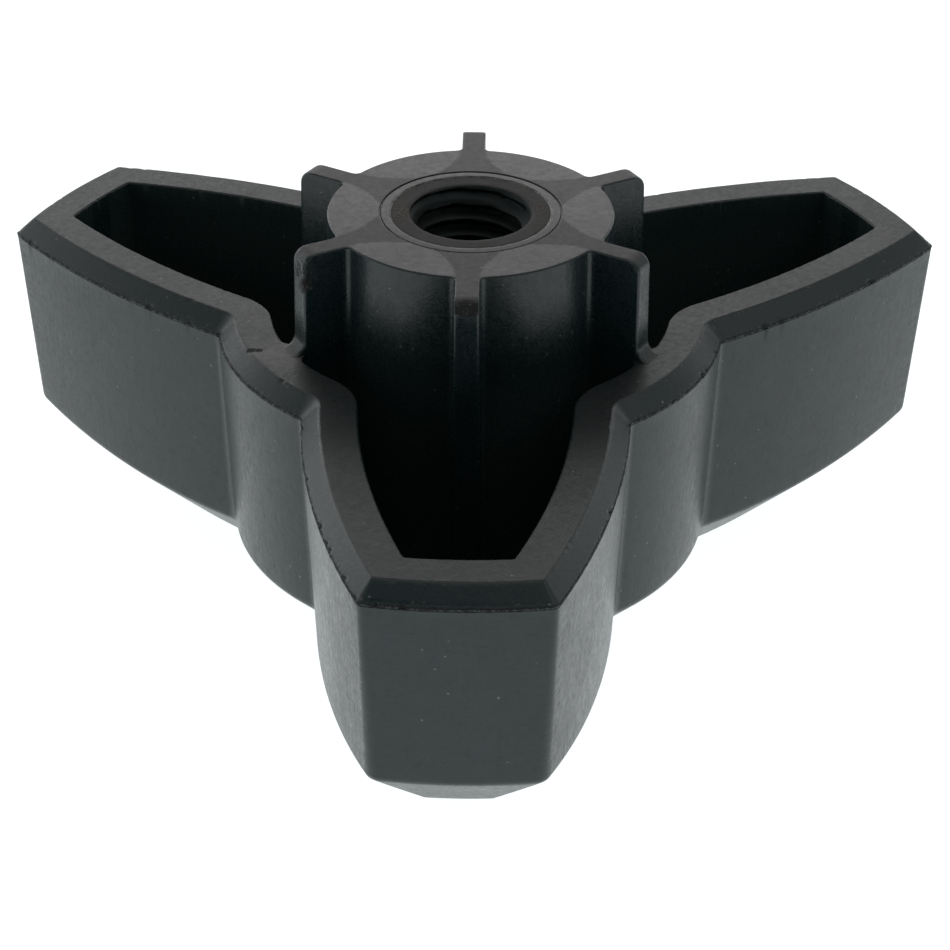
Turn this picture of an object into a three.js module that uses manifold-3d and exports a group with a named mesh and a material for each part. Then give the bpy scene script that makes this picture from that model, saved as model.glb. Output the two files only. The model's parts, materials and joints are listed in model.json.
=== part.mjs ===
// Three-lobe hand nut (wing nut) with a moulded-in threaded insert.
// Millimetres, +Z up. The nut lies on its crown: the origin is on the thread axis at the flat
// middle of the crown, and the hollow side with the hub faces up. Lobes at -90, 30 and 150 degrees.
import * as THREE from 'three';
import { mergeVertices } from 'three/addons/utils/BufferGeometryUtils.js';
import Module from 'manifold-3d';

const wasm = await Module();
wasm.setup();

// Heights above the crown
const RIM_Z = 25.3; // flat rim land
const HUB_Z = 34.0; // hub seating face, 8.7 proud of the rim
const FLOOR_Z = 5.2; // inside floor of the hollow
const BEVEL = 5.6; // 45 degree bevel round the crown
const CROWN_FLAT_R = 14; // flat middle of the crown
const CROWN_ARC_R = 115; // radius of the crown's fall towards the tips

// Plan outline at the parting line, in one lobe's own axes (x outward along the lobe)
const TIP_R = 42.6; // tip face, an arc about the thread axis
const SIDE_R = 74.0; // bowed side of a lobe
const SIDE_CENTRE = new THREE.Vector2(13.2, -61.05);
const DRUM_R = 20.8; // round wall between lobes
const TIP_FILLET = 0.7;
const NECK_FILLET = 0.8; // inside corner between lobe side and drum
const LEAST_CORNER = 0.3; // tip corners stay rounded where they are drawn in
const LOBES = 3;
const STEPS = { tip: 3, corner: 2, side: 7, neck: 4, drum: 3 }; // points along each stretch of half a lobe

// Wall section
const CHAMFER = 1.4; // rim's outer chamfer, down to the parting line
const LAND = 3.0; // width of the flat rim
const SIDE_DRAFT = 0.045; // outer walls lean in towards the crown
const TIP_DRAFT = 0.01; // the tip faces lean this much more
const CORE_DRAFT = 0.015; // inner walls lean in towards the floor
const FLOOR_FILLET = 1.6;
const FILLET_MIDWAY = 1 - Math.SQRT1_2; // where a quarter round is halfway, as a share of its radius
const OVERLAP = 1; // how far solids run into each other, and cutters run past a face

// Hub, ribs and insert
const HUB_R = 11.6;
const HUB_DRAFT = 0.02;
const HUB_EDGE = 0.3; // small round on the hub's top edge
const RIBS = 6;
const RIB_T = 2.0;
const RIB_R = 16.0;
const RIB_CORNER = 1.0;
const RIB_ROOT = 2; // how deep a rib starts inside the hub
const RIB_REACH_R = 17.5; // ribs between lobes run into the drum wall below the rim
const STEP_R = 7.4; // shallow ring round the insert
const STEP_D = 0.15;
const GAP = 0.3;
const INSERT_R = 6.45;
const INSERT_L = 20;
const INSERT_SINK = 0.25; // insert face below the hub face
const INSERT_FOOT = 0.5; // chamfer at the insert's foot
const GROOVES = 2; // holding grooves round the insert
const GROOVE_D = 0.6;
const GROOVE_MOUTH = 1.5; // half of a groove's width at the surface
const GROOVE_BED = 0.9; // half of its width at the bottom
const SINK_R = 4.95; // countersunk entry
const THREAD_MAJOR_R = 5.0;
const THREAD_MINOR_R = 4.19;
const PITCH = 1.5;
const THREAD_L = 17;
const THREAD_OVERRUN = 0.4; // the screw cutter runs this far past the insert's face
const FLANK_GAIN = 1.4; // makes the thread's 60 degree flanks, with a flat crest and root
const CREST_SHARE = 0.2;
const STEPS_PER_PITCH = 5;
const STEPS_PER_TURN = 24;
const HUB_SEGMENTS = 48;
const INSERT_SEGMENTS = 32;

const moulding = new THREE.MeshStandardMaterial({ color: 0x26282a, roughness: 0.55, metalness: 0 });
const steel = new THREE.MeshStandardMaterial({ color: 0x1c1b1b, roughness: 0.5, metalness: 0.8 });

// ---- solids ----

function solid(geometry) {
  const g = geometry.clone();
  g.deleteAttribute('normal');
  if (g.attributes.uv) g.deleteAttribute('uv');
  const merged = mergeVertices(g, 1e-4);
  return new wasm.Manifold(new wasm.Mesh({
    numProp: 3,
    vertProperties: new Float32Array(merged.attributes.position.array),
    triVerts: new Uint32Array(merged.index.array),
  }));
}

function geometryOf(manifold) {
  const mesh = manifold.getMesh();
  const g = new THREE.BufferGeometry();
  g.setAttribute('position', new THREE.BufferAttribute(new Float32Array(mesh.vertProperties), 3));
  g.setIndex(new THREE.BufferAttribute(new Uint32Array(mesh.triVerts), 1));
  g.computeVertexNormals();
  return g;
}

// Turned solid about +Z from [radius, height] pairs that start and end on the axis, bottom first
function turned(profile, segments) {
  const points = profile.map(([r, z]) => new THREE.Vector2(r, z));
  return solid(new THREE.LatheGeometry(points, segments).rotateX(Math.PI / 2));
}

// Closed solid through rings of equal length, fanned shut at both ends; bottom ring first
function lofted(rings, bottom, top) {
  const count = rings[0].length;
  const points = [...rings.flat(), bottom, top];
  const index = [];
  const last = (rings.length - 1) * count;
  const bottomAt = points.length - 2;
  const topAt = points.length - 1;
  for (let i = 0; i < count; i++) {
    const j = (i + 1) % count;
    for (let k = 0; k < last; k += count) {
      index.push(k + i, k + j, k + count + j, k + i, k + count + j, k + count + i);
    }
    index.push(bottomAt, j, i, topAt, last + i, last + j);
  }
  const g = new THREE.BufferGeometry().setFromPoints(points);
  g.setIndex(index);
  return solid(g);
}

// ---- plan outline ----

// Point where two circles meet, the one on the +y side
function meet(centreA, rA, centreB, rB) {
  const d = centreB.clone().sub(centreA);
  const gap = d.length();
  const along = (rA * rA - rB * rB + gap * gap) / (2 * gap);
  const across = Math.sqrt(rA * rA - along * along);
  const unit = d.divideScalar(gap);
  const first = new THREE.Vector2(-unit.y, unit.x).multiplyScalar(across);
  const base = centreA.clone().addScaledVector(unit, along);
  const one = base.clone().add(first);
  const other = base.clone().sub(first);
  return one.y > other.y ? one : other;
}

function arc(centre, radius, from, to, steps) {
  const points = [];
  for (let i = 0; i < steps; i++) {
    const a = from + ((to - from) * i) / steps;
    points.push(new THREE.Vector2(centre.x + radius * Math.cos(a), centre.y + radius * Math.sin(a)));
  }
  return points;
}

const bearing = (from, to) => Math.atan2(to.y - from.y, to.x - from.x);

// Half a lobe's outline, drawn in from the parting line by inset, from its tip's middle to midway
// between two lobes: tip arc, rounded corner, bowed side, neck, drum arc
function halfLobe(inset, tipInset) {
  const axis = new THREE.Vector2(0, 0);
  const tipR = TIP_R - inset - tipInset;
  const sideR = SIDE_R - inset;
  const drumR = DRUM_R - inset;
  const cornerR = Math.max(TIP_FILLET - inset, LEAST_CORNER);
  const neckR = NECK_FILLET + inset;
  const corner = meet(axis, tipR - cornerR, SIDE_CENTRE, sideR - cornerR);
  const neck = meet(axis, drumR + neckR, SIDE_CENTRE, sideR + neckR);
  const tipEnd = bearing(axis, corner);
  const sideFrom = bearing(SIDE_CENTRE, corner);
  const sideTo = bearing(SIDE_CENTRE, neck);
  const neckFrom = sideTo + Math.PI;
  const drumFrom = bearing(axis, neck);
  return [
    ...arc(axis, tipR, 0, tipEnd, STEPS.tip),
    ...arc(corner, cornerR, tipEnd, sideFrom, STEPS.corner),
    ...arc(SIDE_CENTRE, sideR, sideFrom, sideTo, STEPS.side),
    ...arc(neck, neckR, neckFrom, drumFrom + Math.PI, STEPS.neck),
    ...arc(axis, drumR, drumFrom, Math.PI / LOBES, STEPS.drum),
  ];
}

// Whole outline, counter-clockwise, as flat points
function outline(inset, tipInset = 0) {
  const half = halfLobe(inset, tipInset);
  const middle = new THREE.Vector2(DRUM_R - inset, 0).rotateAround(new THREE.Vector2(), Math.PI / LOBES);
  const mirrored = half.slice(1).reverse().map((p) => new THREE.Vector2(p.x, -p.y));
  const lobe = [...half, middle, ...mirrored];
  const points = [];
  for (let i = 0; i < LOBES; i++) {
    // each lobe runs from its own axis to the next, so its mirrored half belongs to the next one
    const here = -Math.PI / 2 + (i * 2 * Math.PI) / LOBES;
    const next = here + (2 * Math.PI) / LOBES;
    lobe.forEach((p, step) => {
      points.push(p.clone().rotateAround(new THREE.Vector2(), step <= half.length ? here : next));
    });
  }
  return points;
}

const raised = (points, height) => points.map((p) => new THREE.Vector3(p.x, p.y, height(p)));
const level = (points, z) => raised(points, () => z);

// ---- the moulded body ----

const crownHeight = (p) => Math.max(p.length() - CROWN_FLAT_R, 0) ** 2 / (2 * CROWN_ARC_R);

function outerSkin() {
  const drop = RIM_Z - CHAMFER - BEVEL;
  const wallInset = SIDE_DRAFT * drop;
  const tipInset = TIP_DRAFT * drop;
  const bevelled = outline(wallInset + BEVEL, tipInset);
  const wallFoot = outline(wallInset, tipInset);
  const inner = bevelled.map((p) => p.clone().multiplyScalar(Math.min(1, CROWN_FLAT_R / p.length())));
  const between = bevelled.map((p, i) => p.clone().lerp(inner[i], 0.5));
  const rings = [
    raised(inner, crownHeight),
    raised(between, crownHeight),
    raised(bevelled, crownHeight),
    wallFoot.map((p, i) => new THREE.Vector3(p.x, p.y, crownHeight(bevelled[i]) + BEVEL)),
    level(outline(0), RIM_Z - CHAMFER),
    level(outline(CHAMFER), RIM_Z),
  ];
  return lofted(rings, new THREE.Vector3(0, 0, 0), new THREE.Vector3(0, 0, RIM_Z));
}

function hollow() {
  const inset = CHAMFER + LAND;
  const depth = RIM_Z - FLOOR_Z;
  const midway = FLOOR_FILLET * FILLET_MIDWAY;
  const rings = [
    level(outline(inset + CORE_DRAFT * depth + FLOOR_FILLET), FLOOR_Z),
    level(outline(inset + CORE_DRAFT * depth + midway), FLOOR_Z + midway),
    level(outline(inset + CORE_DRAFT * (depth - FLOOR_FILLET)), FLOOR_Z + FLOOR_FILLET),
    level(outline(inset), RIM_Z),
    level(outline(inset), RIM_Z + OVERLAP),
  ];
  return lofted(rings, new THREE.Vector3(0, 0, FLOOR_Z), new THREE.Vector3(0, 0, RIM_Z + OVERLAP));
}

function hub() {
  const base = FLOOR_Z - OVERLAP;
  return turned([
    [0, base],
    [HUB_R + HUB_DRAFT * (HUB_Z - base), base],
    [HUB_R, HUB_Z - HUB_EDGE],
    [HUB_R - HUB_EDGE, HUB_Z],
    [0, HUB_Z],
  ], HUB_SEGMENTS);
}

// Upright plate with a rounded top outer corner; reach is how far it runs out below the rim
function rib(angle, reach) {
  const shape = new THREE.Shape();
  shape.moveTo(HUB_R - RIB_ROOT, FLOOR_Z - OVERLAP);
  shape.lineTo(reach, FLOOR_Z - OVERLAP);
  if (reach > RIB_R) {
    shape.lineTo(reach, RIM_Z);
    shape.lineTo(RIB_R, RIM_Z);
  }
  shape.lineTo(RIB_R, HUB_Z - RIB_CORNER);
  shape.absarc(RIB_R - RIB_CORNER, HUB_Z - RIB_CORNER, RIB_CORNER, 0, Math.PI / 2, false);
  shape.lineTo(HUB_R - RIB_ROOT, HUB_Z);
  const plate = new THREE.ExtrudeGeometry(shape, { depth: RIB_T, bevelEnabled: false, curveSegments: 4 });
  plate.translate(0, 0, -RIB_T / 2).rotateX(Math.PI / 2).rotateZ(angle);
  return solid(plate);
}

function insertPocket() {
  return turned([
    [0, HUB_Z - INSERT_SINK - INSERT_L - GAP],
    [INSERT_R + GAP, HUB_Z - INSERT_SINK - INSERT_L - GAP],
    [INSERT_R + GAP, HUB_Z - STEP_D],
    [STEP_R, HUB_Z - STEP_D],
    [STEP_R, HUB_Z + OVERLAP],
    [0, HUB_Z + OVERLAP],
  ], HUB_SEGMENTS);
}

function mouldedBody() {
  let body = outerSkin().subtract(hollow()).add(hub());
  for (let i = 0; i < RIBS; i++) {
    const angle = -Math.PI / 2 + (i * 2 * Math.PI) / RIBS;
    body = body.add(rib(angle, i % 2 ? RIB_REACH_R : RIB_R));
  }
  return geometryOf(body.subtract(insertPocket()));
}

// ---- the threaded insert ----

// Screw-shaped cutter: a cylinder whose radius follows the thread's 60 degree form
function threadCutter(top) {
  const count = Math.ceil((THREAD_L / PITCH) * STEPS_PER_PITCH);
  const rings = [];
  for (let k = 0; k <= count; k++) {
    const z = top - THREAD_L + (k * PITCH) / STEPS_PER_PITCH;
    const ring = [];
    for (let i = 0; i < STEPS_PER_TURN; i++) {
      const phase = (((z / PITCH - i / STEPS_PER_TURN) % 1) + 1) % 1;
      const flank = Math.min(Math.max(Math.abs(phase * 2 - 1) * FLANK_GAIN - CREST_SHARE, 0), 1);
      const r = THREE.MathUtils.lerp(THREAD_MINOR_R, THREAD_MAJOR_R, flank);
      const a = (i * 2 * Math.PI) / STEPS_PER_TURN;
      ring.push(new THREE.Vector3(r * Math.cos(a), r * Math.sin(a), z));
    }
    rings.push(ring);
  }
  const end = rings[count][0].z;
  return lofted(rings, new THREE.Vector3(0, 0, top - THREAD_L), new THREE.Vector3(0, 0, end));
}

function threadedInsert() {
  const top = HUB_Z - INSERT_SINK;
  const bottom = top - INSERT_L;
  const profile = [[0, bottom], [INSERT_R - INSERT_FOOT, bottom], [INSERT_R, bottom + INSERT_FOOT]];
  for (let i = 1; i <= GROOVES; i++) {
    const centre = bottom + (i * INSERT_L) / (GROOVES + 1);
    profile.push([INSERT_R, centre - GROOVE_MOUTH], [INSERT_R - GROOVE_D, centre - GROOVE_BED]);
    profile.push([INSERT_R - GROOVE_D, centre + GROOVE_BED], [INSERT_R, centre + GROOVE_MOUTH]);
  }
  profile.push([INSERT_R, top], [0, top]);
  const countersink = turned([
    [0, top - SINK_R],
    [SINK_R, top],
    [SINK_R, top + OVERLAP],
    [0, top + OVERLAP],
  ], INSERT_SEGMENTS);
  const blank = turned(profile, INSERT_SEGMENTS);
  return geometryOf(blank.subtract(threadCutter(top + THREAD_OVERRUN)).subtract(countersink));
}

// ---- assembly ----

function piece(name, geometry, material) {
  const mesh = new THREE.Mesh(geometry, material);
  mesh.name = name;
  return mesh;
}

const wingNut = new THREE.Group();
wingNut.add(piece('moulded_body', mouldedBody(), moulding));
wingNut.add(piece('threaded_insert', threadedInsert(), steel));

export default wingNut;
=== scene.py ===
import json
import math

import bmesh
import bpy
import numpy as np
from mathutils import Matrix, Vector, noise


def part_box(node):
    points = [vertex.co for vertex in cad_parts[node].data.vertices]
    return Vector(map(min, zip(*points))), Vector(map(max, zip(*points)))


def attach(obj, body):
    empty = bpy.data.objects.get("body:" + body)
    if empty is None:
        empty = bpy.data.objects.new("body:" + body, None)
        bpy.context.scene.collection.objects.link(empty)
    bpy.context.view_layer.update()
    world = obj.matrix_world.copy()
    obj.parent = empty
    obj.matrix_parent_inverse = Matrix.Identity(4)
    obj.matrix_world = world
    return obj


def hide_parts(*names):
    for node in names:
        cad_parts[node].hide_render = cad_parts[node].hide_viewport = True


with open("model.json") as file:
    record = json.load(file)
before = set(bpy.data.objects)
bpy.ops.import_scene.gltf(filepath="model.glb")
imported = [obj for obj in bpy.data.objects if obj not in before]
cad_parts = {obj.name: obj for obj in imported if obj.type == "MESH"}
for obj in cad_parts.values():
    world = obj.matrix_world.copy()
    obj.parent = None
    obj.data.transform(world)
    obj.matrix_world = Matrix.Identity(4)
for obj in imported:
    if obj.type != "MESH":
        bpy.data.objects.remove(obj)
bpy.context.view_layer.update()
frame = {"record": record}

# ---- sizes -------------------------------------------------------------------------------------
# Millimetres in the mesh making and the materials; meshes are scaled to metres when they are built.

MM = 0.001
BODY_LOW, BODY_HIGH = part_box("moulded_body")
INSERT_LOW, INSERT_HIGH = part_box("threaded_insert")
MOUNTS = {m["name"]: m for m in frame["record"]["mounts"]}

HUB_Z = BODY_HIGH[2] / MM
RIM_Z = MOUNTS["rim_land"]["pos_m"][2] / MM
SKIN = 0.07                 # the flash stands this far out of the walls
TIP_R = -BODY_LOW[1] / MM - SKIN
LOBES = 3
FIRST_LOBE = -math.pi / 2

# Plan outline at the parting line, in one lobe's own axes
SIDE_R = 74.0 - SKIN
SIDE_CENTRE = np.array((13.2, -61.05))
DRUM_R = 20.8 - SKIN
TIP_CORNER = 0.7             # upright corners of the tips, at the parting line
FOOT_CORNER = 1.3            # the same corners at the foot of the walls
LEAST_CORNER = 0.28
NECK_FILLET = 1.1

# Section through a wall
CHAMFER = 1.4
PART_Z = RIM_Z - CHAMFER     # height of the mould's parting line
LAND = 3.0
SIDE_DRAFT = 0.045
TIP_DRAFT = 0.01
CORE_DRAFT = 0.015
FLOOR_Z = 5.2
FLOOR_FILLET = 1.4
BEVEL = 5.6
CROWN_FLAT_R = 14.0
CROWN_ARC_R = 115.0
CROWN_EDGE = 0.35
FOOT_EDGE = 0.4
LAND_EDGE = 0.14
MOUTH_EDGE = 0.16

# Hub, ribs and the seat of the insert
HUB_R = 11.6
HUB_DRAFT = 0.02
RIBS = 6
RIB_HALF = 0.97
RIB_DRAFT = 0.006
RIB_R = 16.0
RIB_CORNER = 1.1
RIB_EDGE = 0.25
RIB_REACH_R = 17.9
TRIMMED_RIB = 5              # its end stands a little further in than the others
TRIM = 0.5
ROOT_FILLET = 0.6
TOP_EDGE = 0.14              # rounding of the hub's upper edge
POCKET_CORNER = 0.95
LAND_FILLET = 1.2
BITE = 0.03                 # how far a pocket corner runs into the rib beside it
SEAT_RING_R = 7.4
SEAT_LIP_R = 6.46

# Insert
INSERT_R = 6.45
INSERT_TOP = INSERT_HIGH[2] / MM + 0.15      # almost level with the seat
INSERT_FOOT = INSERT_LOW[2] / MM
FACE_EDGE = 0.05
KNURL_TEETH = 36
KNURL_D = 0.11
GROOVE_D = 0.5
SINK_R = 4.95
SINK_SLOPE = 0.5
THREAD_MAJOR_R = 5.0
THREAD_MINOR_R = 4.19
PITCH = 1.5
THREAD_L = 17.0
FLANK_GAIN = 1.45            # above 1, it leaves a flat at the thread's root
CREST_SHARE = 0.2

AXIS = np.zeros(2)


# ---- plan curves -------------------------------------------------------------------------------

def turn(points, angle):
    c, s = math.cos(angle), math.sin(angle)
    return points @ np.array(((c, s), (-s, c)))


def arc(centre, radius, start, end, count):
    """Points along an arc, without its last one."""
    a = start + (end - start) * np.arange(count) / count
    return np.column_stack((centre[0] + radius * np.cos(a), centre[1] + radius * np.sin(a)))


def bearing(a, b):
    return math.atan2(b[1] - a[1], b[0] - a[0])


def polar(radius, angle):
    return radius * np.array((math.cos(angle), math.sin(angle)))


def meet(centre_a, r_a, centre_b, r_b):
    """Upper crossing of two circles."""
    gap = np.linalg.norm(centre_b - centre_a)
    along = (r_a**2 - r_b**2 + gap**2) / (2 * gap)
    across = math.sqrt(r_a**2 - along**2)
    unit = (centre_b - centre_a) / gap
    normal = np.array((-unit[1], unit[0])) * across
    base = centre_a + unit * along
    return max(base + normal, base - normal, key=lambda p: p[1])


def mirrored(half):
    """The other side of a half outline, back towards where it started."""
    return (half * (1, -1))[:0:-1]


def lobe_side(inset, tip_inset=0.0, corner_r=LEAST_CORNER):
    """From the middle of a lobe's tip to the start of the drum arc: tip arc, corner, bowed side, neck.
    Also gives the bearing where the drum arc starts."""
    tip_r, side_r, drum_r = TIP_R - inset - tip_inset, SIDE_R - inset, DRUM_R - inset
    neck_r = NECK_FILLET + inset
    corner = meet(AXIS, tip_r - corner_r, SIDE_CENTRE, side_r - corner_r)
    neck = meet(AXIS, drum_r + neck_r, SIDE_CENTRE, side_r + neck_r)
    tip_end = bearing(AXIS, corner)
    side_from, side_to = bearing(SIDE_CENTRE, corner), bearing(SIDE_CENTRE, neck)
    drum_from = bearing(AXIS, neck)
    points = np.vstack((
        arc(AXIS, tip_r, 0, tip_end, 32),
        arc(corner, corner_r, tip_end, side_from, 8),
        arc(SIDE_CENTRE, side_r, side_from, side_to, 120),
        arc(neck, neck_r, side_to + math.pi, drum_from + math.pi, 16),
    ))
    return points, drum_from


def outline(inset, tip_inset=0.0, corner_r=LEAST_CORNER):
    """The nut's whole outline, drawn in from the parting line by inset, counter-clockwise."""
    side, drum_from = lobe_side(inset, tip_inset, corner_r)
    drum_r = DRUM_R - inset
    half = np.vstack((side, arc(AXIS, drum_r, drum_from, math.pi / LOBES, 36)))
    middle = polar(drum_r, math.pi / LOBES)
    pieces = []
    for k in range(LOBES):
        here = FIRST_LOBE + k * 2 * math.pi / LOBES
        back = turn(mirrored(half), here + 2 * math.pi / LOBES)
        pieces += [turn(half, here), turn(middle[None], here), back]
    return np.vstack(pieces)


def pocket_outline(inset, half_rib, lobe):
    """One hollow: round the lobe and along the drum to the ribs beside it, then hidden in ribs and hub."""
    side, drum_from = lobe_side(CHAMFER + LAND + inset)
    drum_r = DRUM_R - CHAMFER - LAND - inset
    corner_r = max(POCKET_CORNER - inset, 0.2)
    corner_at = math.pi / LOBES - math.asin((half_rib + corner_r - BITE) / (drum_r - corner_r))
    corner = polar(drum_r - corner_r, corner_at)
    rib_way = polar(1.0, math.pi / LOBES)
    rib_side = np.array((rib_way[1], -rib_way[0]))
    in_rib = rib_way * (corner @ rib_way - 0.3) + rib_side * half_rib / 2
    in_hub = rib_way * (HUB_R - 1.5) + rib_side * half_rib / 2
    hub_in = np.linalg.norm(in_hub)
    half = np.vstack((
        side,
        arc(AXIS, drum_r, drum_from, corner_at, 28),
        arc(corner, corner_r, corner_at, math.pi / LOBES + math.pi / 2, 12),
        in_rib[None],
        arc(AXIS, hub_in, bearing(AXIS, in_hub), 0, 8),
    ))
    whole = np.vstack((half, (hub_in, 0.0), mirrored(half)))
    return turn(whole, FIRST_LOBE + lobe * 2 * math.pi / LOBES)


def rib_half(hub_r, half_t, out_r, root):
    """From the middle of a rib's outer end, along its side and the root fillet, to midway between ribs."""
    reach = math.sqrt((hub_r + root) ** 2 - (half_t + root) ** 2)
    centre = np.array((reach, half_t + root))
    root_at = bearing(AXIS, centre)
    tip_corner = np.array((out_r - RIB_EDGE, half_t - RIB_EDGE))
    return np.vstack((
        np.linspace((out_r, 0), (out_r, half_t - RIB_EDGE), 4, endpoint=False),
        arc(tip_corner, RIB_EDGE, 0, math.pi / 2, 5),
        np.linspace((out_r - RIB_EDGE, half_t), (reach, half_t), 14, endpoint=False),
        arc(centre, root, 1.5 * math.pi, root_at + math.pi, 8),
        arc(AXIS, hub_r, root_at, math.pi / RIBS, 20),
    ))


def quarter(radius, distance):
    """How far a quarter round has drawn in at this distance before its end."""
    left = min(max(radius - distance, 0.0), radius)
    return radius - math.sqrt(radius**2 - left**2)


def hub_outline(z):
    """The hub with its ribs at height z; the ribs between lobes run out into the drum below the rim."""
    depth = HUB_Z - z
    grow = quarter(FLOOR_FILLET, z - FLOOR_Z) - quarter(TOP_EDGE, depth)
    end_r = RIB_R - quarter(RIB_CORNER, depth) + 0.01 * depth + grow
    above_rim = z - RIM_Z
    drum_end_r = end_r + quarter(LAND_FILLET, above_rim) if above_rim > -0.2 else RIB_REACH_R
    hub_r = HUB_R + HUB_DRAFT * depth + grow
    half_t = RIB_HALF + RIB_DRAFT * depth + grow
    root = max(ROOT_FILLET - max(grow, 0.0), 0.2)
    ends = [(end_r, drum_end_r)[k % 2] for k in range(RIBS)]
    ends[TRIMMED_RIB] -= TRIM if above_rim > -0.2 else 0
    halves = [rib_half(hub_r, half_t, end, root) for end in ends]
    middle = polar(hub_r, math.pi / RIBS)
    pieces = []
    for k in range(RIBS):
        here = FIRST_LOBE + k * 2 * math.pi / RIBS
        back = turn(mirrored(halves[(k + 1) % RIBS]), here + 2 * math.pi / RIBS)
        pieces += [turn(halves[k], here), turn(middle[None], here), back]
    return np.vstack(pieces)


# ---- mesh making -------------------------------------------------------------------------------

def at(points, z):
    return np.column_stack((points, np.broadcast_to(z, len(points))))


def bend(start, corner, end, count):
    """A rounded corner in (inward, upward) steps."""
    t = np.linspace(0, 1, count)[:, None]
    start, corner, end = map(np.array, (start, corner, end))
    return (1 - t) ** 2 * start + 2 * t * (1 - t) * corner + t**2 * end


def loft(name, rings, first=None, last=None):
    """Closed mesh through rings of equal length, bottom first.
    An end is a fan to the point given for it, or else one flat face."""
    count = len(rings[0])
    verts = np.vstack(rings)
    i = np.arange(count)
    j = (i + 1) % count
    sides = [np.column_stack((k * count + i, k * count + j, (k + 1) * count + j, (k + 1) * count + i))
             for k in range(len(rings) - 1)]
    faces = np.vstack(sides).tolist()
    top = (len(rings) - 1) * count
    if first is None:
        faces.append(list(range(count))[::-1])
    else:
        faces += np.column_stack((np.full(count, len(verts)), j, i)).tolist()
        verts = np.vstack((verts, first))
    if last is None:
        faces.append(list(range(top, top + count)))
    else:
        faces += np.column_stack((np.full(count, len(verts)), top + i, top + j)).tolist()
        verts = np.vstack((verts, last))
    mesh = bpy.data.meshes.new(name)
    mesh.from_pydata((verts * MM).tolist(), [], faces)
    mesh.update()
    piece = bpy.data.objects.new(name, mesh)
    bpy.context.scene.collection.objects.link(piece)
    return piece


def joined(target, others, operation):
    """Cuts the others out of the target, or adds them to it, and removes them."""
    for other in others:
        step = target.modifiers.new("join", "BOOLEAN")
        step.solver = "MANIFOLD"
        step.operation = operation
        step.object = other
        shape = bpy.data.meshes.new_from_object(target.evaluated_get(bpy.context.evaluated_depsgraph_get()))
        target.modifiers.clear()
        target.data = shape
        bpy.data.objects.remove(other)
    return target


def shaded(piece, crease, flats=()):
    """Smooth shading, with edges sharper than crease degrees kept crisp, and the borders of level flats."""
    shape = bmesh.new()
    shape.from_mesh(piece.data)
    for edge in shape.edges:
        if len(edge.link_faces) == 2:
            level = [any(abs(f.calc_center_median().z / MM - z) < 0.002 and abs(f.normal.z) > 0.9999
                         for z in flats) for f in edge.link_faces]
            edge.smooth = level[0] == level[1] and edge.calc_face_angle() < math.radians(crease)
    for face in shape.faces:
        face.smooth = True
    shape.to_mesh(piece.data)
    shape.free()


def wander(points, size, seed):
    """Slow noise between -1 and 1 along a ring of points; size is its grain in millimetres."""
    shift = Vector((seed * 17.3, seed * 5.1, seed * 9.7))
    return np.array([noise.noise(Vector(p) / size + shift) for p in points])


def outward(points):
    """Plan directions pointing out of a counter-clockwise ring."""
    along = np.roll(points, -1, axis=0) - np.roll(points, 1, axis=0)
    out = np.column_stack((along[:, 1], -along[:, 0]))
    return out / np.linalg.norm(out, axis=1)[:, None]


# ---- the moulded body --------------------------------------------------------------------------

def crown_height(points):
    return np.maximum(np.linalg.norm(points, axis=1) - CROWN_FLAT_R, 0) ** 2 / (2 * CROWN_ARC_R)


def nicks(ring, count, width, depth, seed):
    """How deep each point of a ring is nicked, from a few short dents at random places."""
    dice = np.random.default_rng(seed)
    gaps = np.linalg.norm(np.roll(ring, -1, axis=0) - ring, axis=1)
    run = np.concatenate(((0,), np.cumsum(gaps)[:-1]))
    total = gaps.sum()
    dent = np.zeros(len(ring))
    for place in dice.uniform(0, total, count):
        away = np.abs((run - place + total / 2) % total - total / 2)
        deepest = dice.uniform(0.3, 1) * depth
        reach = dice.uniform(0.4, 1) * width
        dent = np.maximum(dent, deepest * np.exp(-(away / reach) ** 2))
    return dent


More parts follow.
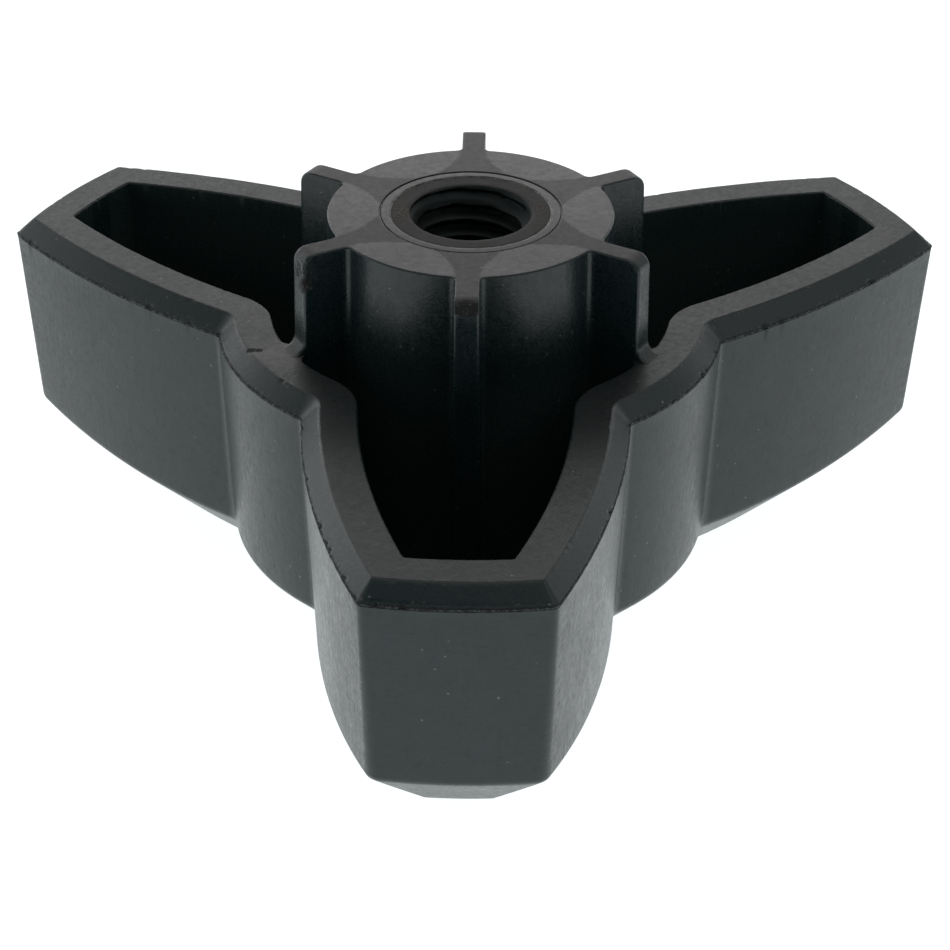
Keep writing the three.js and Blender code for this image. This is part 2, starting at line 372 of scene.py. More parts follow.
def skin_rings():
    """From the crown's middle, over its bevel, up the walls, across the chamfer to the rim."""
    drop = PART_Z - BEVEL
    wall_in, tip_in = SIDE_DRAFT * drop, TIP_DRAFT * drop
    edge = outline(wall_in + BEVEL, tip_in)
    edge_z = crown_height(edge)
    foot_z = edge_z + BEVEL
    rings = []
    crown = outline(wall_in + BEVEL + CROWN_EDGE, tip_in)
    for share in (0.04, 0.12, 0.22, 0.34, 0.46, 0.58, 0.7, 0.8, 0.88, 0.94, 0.98):
        ring = crown * share
        rings.append(at(ring, crown_height(ring)))
    slope = math.sqrt(0.5)
    for inward, up in bend((BEVEL + CROWN_EDGE, 0), (BEVEL, 0),
                           (BEVEL - slope * CROWN_EDGE, slope * CROWN_EDGE), 5):
        ring = outline(wall_in + inward, tip_in)
        rings.append(at(ring, np.minimum(crown_height(ring), edge_z) + up))
    for share in (0.2, 0.4, 0.6, 0.8):
        corner_r = LEAST_CORNER + (FOOT_CORNER - LEAST_CORNER) * share
        rings.append(at(outline(wall_in + BEVEL * (1 - share), tip_in, corner_r), edge_z + BEVEL * share))
    for inward, up in bend((slope * FOOT_EDGE, BEVEL - slope * FOOT_EDGE), (0, BEVEL),
                           (-SIDE_DRAFT * FOOT_EDGE, BEVEL + FOOT_EDGE), 6):
        rings.append(at(outline(wall_in + inward, tip_in, FOOT_CORNER), edge_z + up))
    for share in np.linspace(0.1, 0.99, 12):
        corner_r = FOOT_CORNER + (TIP_CORNER - FOOT_CORNER) * share
        ring = outline(wall_in * (1 - share), tip_in * (1 - share), corner_r)
        rings.append(at(ring, foot_z + (PART_Z - foot_z) * share))
    # parting line: a thin ragged flash, nicked here and there
    flat = outline(0, 0, TIP_CORNER)
    out = outward(flat)
    line = at(flat, PART_Z)
    ragged = np.clip(0.55 + 0.75 * wander(line, 0.9, 1) + 0.5 * wander(line, 0.3, 2), 0, 1) * SKIN
    dents = nicks(flat, 44, 0.30, 0.16, 4)
    for inward, up, share in ((0.0, -0.09, 0.1), (0.0, 0.0, 1.0), (0.03, 0.03, 0.8), (0.14, 0.1, 0.1)):
        ring = outline(inward, 0, TIP_CORNER)
        rings.append(at(ring + out * (ragged * share - dents)[:, None], PART_Z + up - 0.35 * dents))
    for share in (0.2, 0.28, 0.4, 0.6, 0.8, 0.84):
        corner_r = TIP_CORNER + (LEAST_CORNER - TIP_CORNER) * share
        rings.append(at(outline(CHAMFER * share, 0, corner_r), PART_Z + CHAMFER * share))
    # upper edge of the chamfer
    worn = 0.10 * LAND_EDGE * wander(line, 1.6, 5) + nicks(flat, 22, 0.25, 0.06, 6)
    for inward, up in bend((-slope * LAND_EDGE, -slope * LAND_EDGE), (0, 0), (LAND_EDGE, 0), 5):
        ring = outline(CHAMFER + inward)
        below = up < -1e-9
        sunk = np.maximum(worn, 0) if below else 0.0
        rings.append(at(ring - out * (worn * (1 if below else 0.6))[:, None], RIM_Z + up - sunk))
    return rings


def pocket_rings(lobe):
    depth = RIM_Z - FLOOR_Z
    rings = []
    for s in np.linspace(0, math.pi / 2, 7):
        rise = FLOOR_FILLET * (1 - math.cos(s))
        rings.append((FLOOR_FILLET * (1 - math.sin(s)) + CORE_DRAFT * (depth - rise), FLOOR_Z + rise))
    for z in np.linspace(FLOOR_Z + FLOOR_FILLET, RIM_Z - MOUTH_EDGE, 12)[1:]:
        rings.append((CORE_DRAFT * (RIM_Z - z), z))
    for s in np.linspace(0, math.pi / 2, 4)[1:]:
        rings.append((-MOUTH_EDGE * (1 - math.cos(s)), RIM_Z - MOUTH_EDGE * (1 - math.sin(s))))
    rings.append((-MOUTH_EDGE, RIM_Z + 0.5))
    made = []
    for inset, z in rings:
        plan = pocket_outline(inset, RIB_HALF + RIB_DRAFT * (HUB_Z - z), lobe)
        if z > RIM_Z - MOUTH_EDGE:
            solid = at(plan, RIM_Z)
            chip = 0.02 * wander(solid, 0.5, 8) + nicks(plan, 12, 0.2, 0.07, 10 + lobe)
            plan = plan + outward(plan) * chip[:, None] * (np.linalg.norm(plan, axis=1) > HUB_R + 4)[:, None]
        made.append(at(plan, z))
    return made


def hub_rings():
    """Up the outside of the hub and its ribs, in over the top, and down the insert's pocket."""
    heights = [FLOOR_Z - 1, FLOOR_Z]
    heights += [FLOOR_Z + FLOOR_FILLET * (1 - math.cos(s)) for s in np.linspace(0.35, math.pi / 2, 5)]
    heights += list(np.linspace(FLOOR_Z + FLOOR_FILLET, RIM_Z - 0.4, 14)[1:])
    heights += [RIM_Z - 0.25, RIM_Z - 0.02]
    heights += [RIM_Z + LAND_FILLET * (1 - math.cos(s)) for s in np.linspace(0.25, math.pi / 2, 7)]
    heights += list(np.linspace(RIM_Z + LAND_FILLET, HUB_Z - RIB_CORNER, 9)[1:])
    heights += [HUB_Z - RIB_CORNER * (1 - math.sin(s)) for s in np.linspace(0.2, 1.05, 6)]
    heights += [HUB_Z - TOP_EDGE * (1 - math.sin(s)) for s in (0.0, 0.5, 1.0, math.pi / 2)]
    rings = [at(hub_outline(z), z) for z in heights]
    rim = rings[-1][:, :2]
    angles = np.arctan2(rim[:, 1], rim[:, 0])
    around = np.column_stack((np.cos(angles), np.sin(angles)))
    seat = (
        (10.2, 0), (SEAT_RING_R + 0.5, 0), (SEAT_RING_R + 0.08, 0), (SEAT_RING_R + 0.03, -0.02),
        (SEAT_RING_R, -0.13), (SEAT_RING_R - 0.09, -0.14), (SEAT_RING_R - 0.15, -0.05),
        (SEAT_RING_R - 0.3, -0.03), (SEAT_LIP_R + 0.3, -0.03), (SEAT_LIP_R + 0.14, -0.02),
        (SEAT_LIP_R + 0.06, -0.03), (SEAT_LIP_R + 0.02, -0.06), (SEAT_LIP_R, -0.11), (SEAT_LIP_R, -0.5),
        (SEAT_LIP_R, -1.5),
    )
    # the lip is frayed, the ring round it hardly, and the wall of the pocket is round
    lip = at(around * SEAT_LIP_R, HUB_Z)
    frayed = 0.04 * (1 + wander(lip, 0.8, 21)) + 0.03 * (1 + wander(lip, 0.25, 22))
    frayed += nicks(lip[:, :2], 16, 0.35, 0.10, 23)
    for r, down in seat:
        near = math.exp(-((r - SEAT_LIP_R) / 0.12) ** 2) if down > -0.1 else 0.0
        rings.append(at(around * (r + frayed * near)[:, None], HUB_Z + down))
    rings.append(at(around * (INSERT_R + 0.05), INSERT_FOOT - 0.3))
    return rings


def make_body():
    body = loft("moulding", skin_rings(), first=(0, 0, 0))
    pockets = [loft(f"pocket {lobe}", pocket_rings(lobe)) for lobe in range(LOBES)]
    hub = loft("hub and ribs", hub_rings(), last=(0, 0, INSERT_FOOT - 0.3))
    joined(body, pockets, "DIFFERENCE")
    joined(body, [hub], "UNION")
    shaded(body, 34, flats=(RIM_Z, HUB_Z))
    return body


# ---- the threaded insert -----------------------------------------------------------------------

def thread_radius(angles, z):
    """Sixty degree thread form with narrow flats at crest and root."""
    phase = (z / PITCH - angles / (2 * math.pi)) % 1
    flank = np.clip(np.abs(phase * 2 - 1) * FLANK_GAIN - CREST_SHARE, 0, 1)
    return THREAD_MINOR_R + (THREAD_MAJOR_R - THREAD_MINOR_R) * flank


def make_insert():
    steps = 144
    angles = np.arange(steps) * 2 * math.pi / steps
    around = np.column_stack((np.cos(angles), np.sin(angles)))
    length = INSERT_TOP - INSERT_FOOT
    rings = []

    def add(radius, z):
        rings.append(at(around * np.broadcast_to(radius, steps)[:, None], z))

    add(INSERT_R - 0.5, INSERT_FOOT)
    add(INSERT_R - 0.1, INSERT_FOOT + 0.4)
    for share in np.linspace(0.03, 0.95, 40):
        groove = max(math.exp(-((share - c) * length / 1.1) ** 4) for c in (1 / 3, 2 / 3))
        knurl = KNURL_D * (1 + np.cos(angles * KNURL_TEETH)) / 2 * (1 - groove)
        add(INSERT_R - KNURL_D + knurl - GROOVE_D * groove, INSERT_FOOT + length * share)
    add(INSERT_R, INSERT_TOP - 0.7)
    for s in np.linspace(0, math.pi / 2, 5):
        add(INSERT_R - FACE_EDGE * (1 - math.cos(s)), INSERT_TOP - FACE_EDGE * (1 - math.sin(s)))
    face = at(around * 5.6, INSERT_TOP)
    dents = 0.012 * wander(face, 1.6, 31)
    for r in (6.1, 5.7, 5.35):
        add(r, INSERT_TOP - np.abs(dents))
    edge = 0.03 * wander(face, 0.7, 32)
    add(SINK_R + 0.1 + edge, INSERT_TOP - 0.01)
    add(SINK_R + edge, INSERT_TOP - 0.05)
    for z in np.arange(INSERT_TOP - 0.15, INSERT_TOP - THREAD_L, -PITCH / 12):
        cone = SINK_R - SINK_SLOPE * (INSERT_TOP - z)
        add(np.maximum(cone, thread_radius(angles, z)), z)
    add(THREAD_MINOR_R, INSERT_TOP - THREAD_L)
    insert = loft("insert", rings, first=(0, 0, INSERT_FOOT), last=(0, 0, INSERT_TOP - THREAD_L - 1.2))
    shaded(insert, 50)
    return insert


# ---- material making ---------------------------------------------------------------------------

class Wire:
    """A value in a material. Sums, products, powers and comparisons with it make nodes."""

    def __init__(self, recipe, socket):
        self.recipe, self.socket = recipe, socket

    def made(self, operation, *values):
        vectors = [v for v in values if isinstance(v, Wire) and v.socket.type == "VECTOR"]
        kind = "ShaderNodeVectorMath" if vectors else "ShaderNodeMath"
        if vectors:
            values = [v if isinstance(v, (Wire, tuple)) else (v,) * 3 for v in values]
        return self.recipe.node(kind, {"operation": operation}, *values)

    def __add__(self, other): return self.made("ADD", self, other)
    def __radd__(self, other): return self.made("ADD", other, self)
    def __sub__(self, other): return self.made("SUBTRACT", self, other)
    def __rsub__(self, other): return self.made("SUBTRACT", other, self)
    def __mul__(self, other): return self.made("MULTIPLY", self, other)
    def __rmul__(self, other): return self.made("MULTIPLY", other, self)
    def __truediv__(self, other): return self.made("DIVIDE", self, other)
    def __pow__(self, other): return self.made("POWER", self, other)
    def __abs__(self): return self.made("ABSOLUTE", self)
    def __mod__(self, other): return self.made("FLOORED_MODULO", self, other)
    def __lt__(self, other): return self.made("LESS_THAN", self, other)
    def low(self, other): return self.made("MINIMUM", self, other)
    def high(self, other): return self.made("MAXIMUM", self, other)

    def step(self, start, end, low=0.0, high=1.0):
        """Eases from low to high while the value goes from start to end."""
        return self.recipe.node("ShaderNodeMapRange", {"interpolation_type": "SMOOTHSTEP"},
                                self, start, end, low, high)


class Recipe:
    """Nodes of one material or world, built up by calls."""

    def __init__(self, tree):
        self.tree = tree

    def node(self, kind, settings, *values, out=None, **named):
        made = self.tree.nodes.new(kind)
        for key, value in settings.items():
            setattr(made, key, value)
        for key, value in [*enumerate(values), *named.items()]:
            self.put(made.inputs[key.replace("_", " ") if isinstance(key, str) else key], value)
        if out is not None:
            return Wire(self, made.outputs[out])
        return Wire(self, next((o for o in made.outputs if o.enabled), None))

    def put(self, socket, value):
        if isinstance(value, Wire):
            self.tree.links.new(value.socket, socket)
        elif value is not None:
            socket.default_value = value

    def parts(self, vector):
        return [self.node("ShaderNodeSeparateXYZ", {}, vector, out=i) for i in range(3)]

    def joined(self, x, y, z):
        return self.node("ShaderNodeCombineXYZ", {}, x, y, z)

    def function(self, operation, *values):
        return self.node("ShaderNodeMath", {"operation": operation}, *values)

    def mix(self, share, a, b):
        """Colour a, turning to b as share goes from 0 to 1."""
        made = self.tree.nodes.new("ShaderNodeMix")
        made.data_type = "RGBA"
        for key, value in ((0, share), (6, a), (7, b)):
            self.put(made.inputs[key], (*value, 1) if isinstance(value, tuple) else value)
        return Wire(self, made.outputs[2])


class Finish(Recipe):
    """A material round one Principled shader, with the object's own millimetres to work from."""

    def __init__(self, name, colour):
        self.material = bpy.data.materials.new(name)
        self.material.use_nodes = True
        self.material.diffuse_color = (*colour, 1)
        super().__init__(self.material.node_tree)
        self.shader = self.tree.nodes["Principled BSDF"]
        self.place = self.node("ShaderNodeTexCoord", {}, out="Object") * (1 / MM)
        self.x, self.y, self.z = self.parts(self.place)
        self.radius = (self.x * self.x + self.y * self.y) ** 0.5
        self.up = self.parts(self.node("ShaderNodeNewGeometry", {}, out="Normal"))[2]

    def noise(self, size, detail=2.0, rough=0.5, at=None, stretch=None, shift=0.0):
        """Cloudy noise from 0 to 1 with a grain of size millimetres, drawn out along stretch."""
        where = self.place if at is None else at
        if stretch:
            where = where / stretch
        if shift:
            where = where + shift
        return self.node("ShaderNodeTexNoise", {}, where, None, 1 / size, detail, rough)

    def specks(self, spacing, share, radius, seed=0.0):
        """Uneven spots of this radius, in a share of the cells of this spacing, both in millimetres."""
        where = self.place + seed
        away = self.node("ShaderNodeTexVoronoi", {}, where, None, 1 / spacing, out="Distance") * spacing
        away = away + (self.noise(0.12, 2, 0.7, shift=seed) - 0.45) * radius * 2
        dice = self.node("ShaderNodeTexVoronoi", {}, where, None, 1 / spacing, out="Color")
        return away.step(radius, radius * 0.4) * (self.parts(dice)[0] < share)

    def length(self, vector):
        return self.node("ShaderNodeVectorMath", {"operation": "LENGTH"}, vector, out="Value")

    def near(self, place, radius, squash=(1, 1, 1)):
        """1 within a radius of a place, for one single mark."""
        return self.length((self.place - place) / squash).step(radius, radius * 0.5)

    def line(self, start, end, width):
        """1 along a straight hairline between two places."""
        way = Vector(end) - Vector(start)
        reach = self.place - tuple(start)
        share = self.node("ShaderNodeVectorMath", {"operation": "DOT_PRODUCT"}, reach,
                          tuple(way / way.length_squared), out="Value").high(0).low(1)
        foot = self.joined(share * way.x, share * way.y, share * way.z)
        return self.length(reach - foot).step(width, width * 0.3)

    def bump(self, height):
        """Turns heights in millimetres into surface relief."""
        return self.node("ShaderNodeBump", {}, 1.0, MM, Height=height)

    def finish(self, linked, **constants):
        for key, value in linked.items():
            self.put(self.shader.inputs[key], value)
        for key, value in constants.items():
            self.put(self.shader.inputs[key.replace("_", " ")], value)
        return self.material


# Colours of the plastic
CLEAN, CLEAN_PALE = (0.0042, 0.0125, 0.0138), (0.0068, 0.0165, 0.0178)
CLEAN_CHAMFER = (0.0040, 0.0135, 0.0145)
WALL_GRAIN, WALL_SMEAR = (0.024, 0.028, 0.029), (0.002, 0.006, 0.007)
# painted light: the hollows' walls are lifted towards this paler colour, standing for light reaching into
# them
HOLLOW_PAINTED_LIGHT = (0.025, 0.040, 0.037)
# painted sheen: the seat's dust colour and the webs' colour go paler from front to back, standing for
# reflected light
SEAT_DUST_SHEEN_FRONT, SEAT_DUST_SHEEN_REAR = (0.078, 0.072, 0.072), (0.155, 0.147, 0.147)
WEB_SHEEN_FRONT, WEB_SHEEN_REAR, WEB_BRINK = (0.011, 0.0115, 0.0120), (0.055, 0.053, 0.053), (0.075, 0.070, 0.068)
COLLAR_DUST = (0.050, 0.046, 0.045)
RIM_DUST, SWEPT_DUST = (0.013, 0.0122, 0.0120), (0.060, 0.055, 0.055)
# the last of these, the dark of torn spots, also paints a shadow along the parting line
PALE_DUST, RAW_CHIP, TORN_DARK_AND_SHADOW = (0.17, 0.17, 0.165), (0.15, 0.14, 0.13), (0.002, 0.002, 0.002)


def moulded_nylon():
    """Black moulded plastic: fine grained, dusty on the seat with a painted sheen growing paler towards the
    back, streaked along the walls, with painted light in the hollows and a painted shadow along the parting
    line.
    """
    m = Finish("moulded black nylon", (0.02, 0.022, 0.024))
    z, radius, up = m.z, m.radius, m.up
    angle = m.function("ARCTAN2", m.y, m.x)
    third, sixth = 2 * math.pi / LOBES, 2 * math.pi / RIBS
    from_lobe = (angle - FIRST_LOBE + third / 2) % third - third / 2
    from_rib = (angle - FIRST_LOBE + sixth / 2) % sixth - sixth / 2
    along_lobe = radius * m.function("COSINE", from_lobe)
    off_lobe = abs(radius * m.function("SINE", from_lobe))
    off_rib = abs(radius * m.function("SINE", from_rib))
    half_width = (SIDE_R**2 - (along_lobe - SIDE_CENTRE[0]) ** 2) ** 0.5 + SIDE_CENTRE[1]

    # where on the moulding
    level = up.step(0.8, 0.97)
    wall = abs(up).step(0.5, 0.25)
    on_hub = level * z.step(HUB_Z - 1.2, HUB_Z - 0.6)
    on_rim = level * z.step(RIM_Z - 0.3, RIM_Z - 0.1) * (1 - on_hub)
    chamfer = up.step(0.45, 0.6) * up.step(0.9, 0.8) * z.step(PART_Z - 0.3, PART_Z)
    tip_face = wall * along_lobe.step(TIP_R - 3.2, TIP_R - 2.6)
    outside = (off_lobe - half_width + 2.2).step(-0.2, 0.2).high(along_lobe.step(TIP_R - 2.4, TIP_R - 2.0))
    outside = outside * radius.step(DRUM_R - 2.4, DRUM_R - 2.0)
    inside = (1 - outside) * z.step(RIM_Z + 3.0, RIM_Z - 1.0, 0.8, 1.0) * (1 - level) * up.step(-0.45, -0.2)
    rib_end = wall * radius.step(RIB_R - 0.6, RIB_R - 0.3) * z.step(RIM_Z + 0.3, RIM_Z + 0.9)

    # grain, wear and dirt
    grain = m.noise(0.24, 3, 0.6)
    wear = m.noise(0.7, 4, 0.7, shift=2.0)
    mottle = m.noise(0.55, 3, 0.65, shift=4.0)
    cloud = m.noise(3.4, 3, 0.55)
    patch = m.noise(9.0, 2, 0.5, shift=7.0)
    run = m.noise(0.38, 3, 0.65, stretch=(1, 1, 5))
    lay = m.noise(0.4, 3, 0.65, stretch=(8, 8, 0.8))
    dust = m.specks(0.9, 0.30, 0.13) * cloud.step(0.40, 0.55)
    pores = m.specks(0.8, 0.12, 0.10, seed=3.7)

    # the seat: a faint dark web over each rib, widening towards the insert; seat and webs carry a painted
    # sheen, paler towards the back
    web_half = 1.0 + 1.8 * ((11.2 - radius).high(0) / (11.2 - SEAT_RING_R)) ** 2
    web = on_hub * (off_rib - web_half + (wear - 0.5) * 0.35).step(0.26, -0.18)
    # painted sheen: 0 at the front of the seat, 1 at the back
    painted_sheen_to_rear = m.y.step(-9.0, 11.0)
    web = web * radius.step(SEAT_RING_R - 0.1, SEAT_RING_R + 0.15)
    web_brink = web * (1 - web) * 4 * radius.step(HUB_R + 0.4, HUB_R - 0.6) * wear.step(0.35, 0.6)
    collar = on_hub * radius.step(SEAT_RING_R + 0.1, SEAT_RING_R - 0.1)
    lip_chips = z.step(HUB_Z - 0.4, HUB_Z - 0.2) * radius.step(SEAT_LIP_R + 0.35, SEAT_LIP_R + 0.12)
    lip_chips = lip_chips * wear.step(0.42, 0.55)

    # ragged chips on the rib ends, the parting line and the rim's edges, and a painted shadow along the
    # parting line
    ragged = m.noise(0.32, 4, 0.75, shift=5.0)
    torn_top = m.near((0.0, -15.8, 33.45), 1.25, (1, 1, 0.55))
    torn_side = m.near((-13.2, -8.3, 32.2), 1.7, (0.8, 0.8, 1.0))
    torn = torn_top.high(torn_side)
    chips = rib_end.high(torn) * ragged.step(0.66 - torn * 0.14, 0.72 - torn * 0.14)
    tear = m.noise(0.45, 4, 0.7, shift=11.0)
    gouges = (torn_top * tear.step(0.40, 0.47)).high(torn_side * tear.step(0.52, 0.58))
    # painted shadow: a dark line at and just under the flash of the parting line, darker in ragged spots
    seam = outside * (1 - level) * z.step(PART_Z - 0.26, PART_Z - 0.14) * z.step(PART_Z + 0.12, PART_Z + 0.02)
    seam_painted_shadow = seam * (0.4 + 0.6 * ragged.step(0.46, 0.56))
    brink = chamfer * z.step(RIM_Z - 0.3, RIM_Z - 0.12)
    crumbs = outside * chamfer * z.step(PART_Z + 0.55, PART_Z + 0.15)
    bright_edge = (brink + crumbs).low(1) * m.noise(0.4, 3, 0.7, shift=9.0).step(0.60, 0.68)

    # single marks: pits on the left neck and rib end, a dusty neck, a scratch and scuffs
    pits = (m.near((-17.3, -8.1, RIM_Z), 0.42, (1.2, 1, 1)).high(m.near((-16.7, -8.1, RIM_Z), 0.34))
            .high(m.near((-13.12, -8.45, 31.4), 0.62, (0.8, 0.8, 1.3))))
    swept = on_rim * m.near((-14.6, -8.6, RIM_Z), 3.0)
    scratch = m.line((3.65, -42.34, 20.44), (5.9, -42.09, 20.99), 0.16)
    scuffs = (m.line((-6.4, 7.6, HUB_Z), (-4.4, 9.0, HUB_Z), 0.05)
              + m.line((8.1, -4.2, HUB_Z), (9.9, -2.6, HUB_Z), 0.04)
              + m.line((-9.8, -1.4, HUB_Z), (-8.2, -3.5, HUB_Z), 0.04))

    # colour
    base = m.mix(cloud.step(0.3, 0.7), CLEAN, CLEAN_PALE)
    base = m.mix(wall * grain.step(0.45, 0.75) * 0.35, base, WALL_GRAIN)
    # seat: dust plus painted sheen, paler towards the back
    base = m.mix(on_hub * wear.step(0.25, 0.75, 0.5, 1.0), base, m.mix(painted_sheen_to_rear, SEAT_DUST_SHEEN_FRONT, SEAT_DUST_SHEEN_REAR))
    base = m.mix(web * 0.75, base, m.mix(painted_sheen_to_rear, WEB_SHEEN_FRONT, WEB_SHEEN_REAR))
    base = m.mix(web_brink * 0.35, base, WEB_BRINK)
    base = m.mix(collar * wear.step(0.35, 0.7, 0.15, 0.7), base, COLLAR_DUST)
    base = m.mix(on_rim * wear.step(0.3, 0.7, 0.3, 0.9), base, RIM_DUST)
    base = m.mix(swept * 0.7, base, SWEPT_DUST)
    base = m.mix(wall * mottle.step(0.52, 0.68) * 0.5, base, WALL_SMEAR)
    base = m.mix(chamfer * 0.6, base, CLEAN_CHAMFER)
    # painted light: the hollows' walls go paler the deeper they go, less so on the ribs
    deep = inside * z.step(RIM_Z + 4, RIM_Z - 6) * off_rib.step(1.3, 1.1, 1.0, 0.25)
    base = m.mix(deep, base, HOLLOW_PAINTED_LIGHT)
    base = m.mix((dust * 0.8 + scratch * 0.8 + scuffs * 0.4).low(1), base, PALE_DUST)
    base = m.mix((chips * 0.45 + bright_edge * 0.35 + lip_chips * 0.5).low(1), base, RAW_CHIP)
    # pits, gouges and pores, with the parting line's painted shadow
    dark_marks_and_shadow = pits + gouges + seam_painted_shadow * 0.9 + pores * on_hub * 0.5
    base = m.mix(dark_marks_and_shadow.low(1), base, TORN_DARK_AND_SHADOW)

    # roughness
    rough = 0.35 - inside * 0.07 + (grain - 0.5) * 0.24 + (mottle - 0.5) * 0.26 + (patch - 0.5) * 0.10
    rough = rough + wall * (run - 0.5) * 0.24 + tip_face * (lay - 0.5) * 0.26
    rough = rough + level * 0.06 + on_hub * 0.03 + web * 0.08 - chamfer * 0.03 + chips * 0.15 + pits * 0.3
    rough = rough + seam_painted_shadow * 0.5 + gouges * 0.3
    rough = rough.low(0.9).high(0.18)

    # relief, in millimetres
    relief = (grain - 0.5) * 0.014 + (mottle - 0.5) * 0.006 + (cloud - 0.5) * 0.03
    relief = relief + wall * (run - 0.5) * 0.008 + tip_face * (lay - 0.5) * 0.012
    relief = relief + on_hub * (wear - 0.5) * 0.012 - web * 0.012 + scuffs * 0.01 + scratch * 0.01
    relief = relief - (pores * on_hub) * 0.02 - pits * 0.10 + chips * 0.04 - seam_painted_shadow * 0.12 - gouges * 0.14
    return m.finish({"Base Color": base, "Roughness": rough, "Normal": m.bump(relief)},
                    IOR=1.46, Specular_IOR_Level=0.5)


# Colours of the insert
STEEL_DARK, STEEL_PALE = (0.020, 0.025, 0.025), (0.028, 0.033, 0.033)
STEEL_CREST, STEEL_FACE, STEEL_FLECK = (0.042, 0.044, 0.044), (0.042, 0.0395, 0.0385), (0.018, 0.016, 0.015)
CRUST_DARK, CRUST_PALE = (0.014, 0.012, 0.011), (0.060, 0.050, 0.041)


def blackened_steel():
    """Dark oxidised steel: a worn face crusted in two places, a darker countersink and thread."""
    m = Finish("blackened steel", (0.05, 0.045, 0.043))
    turning = m.noise(0.12, 2, 0.6, at=m.joined(m.radius, m.z * 0.3, 0.0))
    blotch = m.noise(1.3, 3, 0.6)
    fleck = m.noise(0.22, 3, 0.7)
    face = m.up.step(0.85, 0.97) * m.z.step(INSERT_TOP - 0.5, INSERT_TOP - 0.2)
    crest = m.radius.step(THREAD_MINOR_R + 0.25, THREAD_MINOR_R + 0.05)
    base = m.mix(blotch.step(0.3, 0.7), STEEL_DARK, STEEL_PALE)
    base = m.mix(crest * 0.4, base, STEEL_CREST)
    base = m.mix(face * blotch.step(0.25, 0.7, 0.6, 1.0), base, STEEL_FACE)
    base = m.mix(face * fleck.step(0.56, 0.70) * 0.6, base, STEEL_FLECK)
    left_crust = m.near((-5.6, -0.4, INSERT_TOP), 2.0, (0.6, 1, 1))
    crusted = left_crust.high(m.near((5.7, 0.6, INSERT_TOP), 1.1, (0.6, 1, 1)))
    base = m.mix(face * crusted * 0.6, base, CRUST_DARK)
    base = m.mix(face * crusted * fleck.step(0.60, 0.40), base, CRUST_PALE)
    rough = (0.56 + face * 0.04 + (blotch - 0.5) * 0.2 + (fleck - 0.5) * 0.15).low(0.9).high(0.2)
    relief = (turning - 0.5) * 0.006 + (fleck - 0.5) * 0.010 + (blotch - 0.5) * 0.02
    return m.finish({"Base Color": base, "Roughness": rough, "Normal": m.bump(relief)}, Metallic=1.0)


def white_floor():
    """A pale floor lit to pure white."""
    m = Finish("white floor", (0.9, 0.9, 0.9))
    return m.finish({}, Base_Color=(0.35, 0.35, 0.35, 1), Roughness=0.9, Specular_IOR_Level=0.1,
                    Emission_Color=(1.0, 1.05, 1.065, 1), Emission_Strength=0.955)


# ---- the object --------------------------------------------------------------------------------

body = make_body()
body.name = "nut_body"
body.data.materials.clear()
body.data.materials.append(moulded_nylon())
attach(body, "root")
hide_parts("moulded_body")

insert = make_insert()
insert.name = "nut_insert"
insert.data.materials.append(blackened_steel())
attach(insert, "root")
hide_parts("threaded_insert")


# ---- camera, floor and light -------------------------------------------------------------------

CAMERA_AT = (0.00375, -0.2113, 0.1383)
CAMERA_LOOKS_AT = (0.0005, 0.0, 0.0090)
CAMERA_ROLL = 0.42
CAMERA_LENS = 110.1
SENSOR_WIDTH = 36
FLOOR_HALF = 1.6
FLOOR_GAP = 0.0002           # the floor lies this far under the crown

# How strongly each part of the tent shines
TENT_ALL_ROUND = 0.08
TENT_BACK, TENT_BACK_LOW = 0.16, 0.27
TENT_TOP = 0.5
TENT_WINDOW = 1.42
TENT_LEFT, TENT_RIGHT = 0.5, 0.2
TENT_FRONT_RIGHT = 0.48


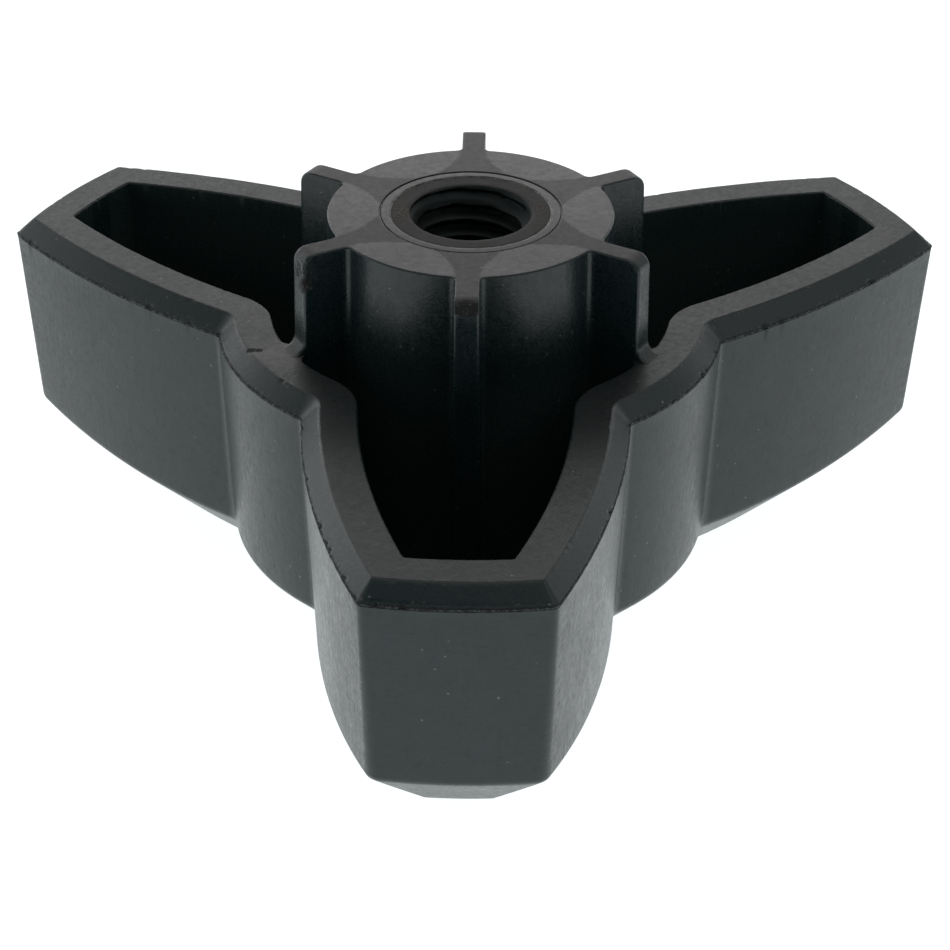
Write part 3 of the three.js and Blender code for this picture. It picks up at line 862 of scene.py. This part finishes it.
def sheet_of_floor():
    corners = [(x * FLOOR_HALF, y * FLOOR_HALF, 0) for x, y in ((-1, -1), (1, -1), (1, 1), (-1, 1))]
    mesh = bpy.data.meshes.new("floor")
    mesh.from_pydata(corners, [], [(0, 1, 2, 3)])
    floor = bpy.data.objects.new("floor", mesh)
    floor.location.z = -FLOOR_GAP
    bpy.context.scene.collection.objects.link(floor)
    mesh.materials.append(white_floor())


def surroundings():
    """A pale tent round the object, with a bright window at the back; brighter on the left than the right."""
    world = bpy.data.worlds.new("tent")
    world.use_nodes = True
    bpy.context.scene.world = world
    world.node_tree.nodes.clear()
    w = Recipe(world.node_tree)
    x, y, z = w.parts(w.node("ShaderNodeTexCoord", {}, out="Generated"))
    back = y.step(-0.85, 0.35)
    low = z.step(0.70, 0.25) * x.step(0.1, 0.5, 1.0, 0.25)
    window = y.step(0.35, 0.8) * z.step(0.04, 0.36) * z.step(0.66, 0.40) * x.step(0.40, -0.05, 0.6, 1.0)
    sides = z.step(0.95, 0.3) * (x.step(-0.25, -0.95) * TENT_LEFT + x.step(0.25, 0.95) * TENT_RIGHT)
    front_right = x.step(0.15, 0.5) * z.step(0.40, 0.66) * z.step(0.95, 0.80) * y.step(0.3, 0.0)
    light = TENT_ALL_ROUND + back * (TENT_BACK + TENT_BACK_LOW * low) + z.step(0.72, 0.99) * TENT_TOP
    light = light + window * TENT_WINDOW + sides + front_right * TENT_FRONT_RIGHT
    shine = w.node("ShaderNodeBackground", {}, (1, 1, 1, 1), light)
    w.node("ShaderNodeOutputWorld", {}, shine)


def put_camera():
    camera = bpy.data.objects.new("camera", bpy.data.cameras.new("camera"))
    bpy.context.scene.collection.objects.link(camera)
    bpy.context.scene.camera = camera
    camera.data.lens = CAMERA_LENS
    camera.data.sensor_width = SENSOR_WIDTH
    camera.data.clip_start, camera.data.clip_end = 0.01, 20
    way = Vector(CAMERA_LOOKS_AT) - Vector(CAMERA_AT)
    camera.matrix_world = (Matrix.Translation(CAMERA_AT) @ way.to_track_quat("-Z", "Y").to_matrix().to_4x4()
                           @ Matrix.Rotation(math.radians(CAMERA_ROLL), 4, "Z"))


put_camera()
sheet_of_floor()
surroundings()
bpy.context.scene.view_settings.view_transform = "Standard"
bpy.context.scene.view_settings.look = "None"
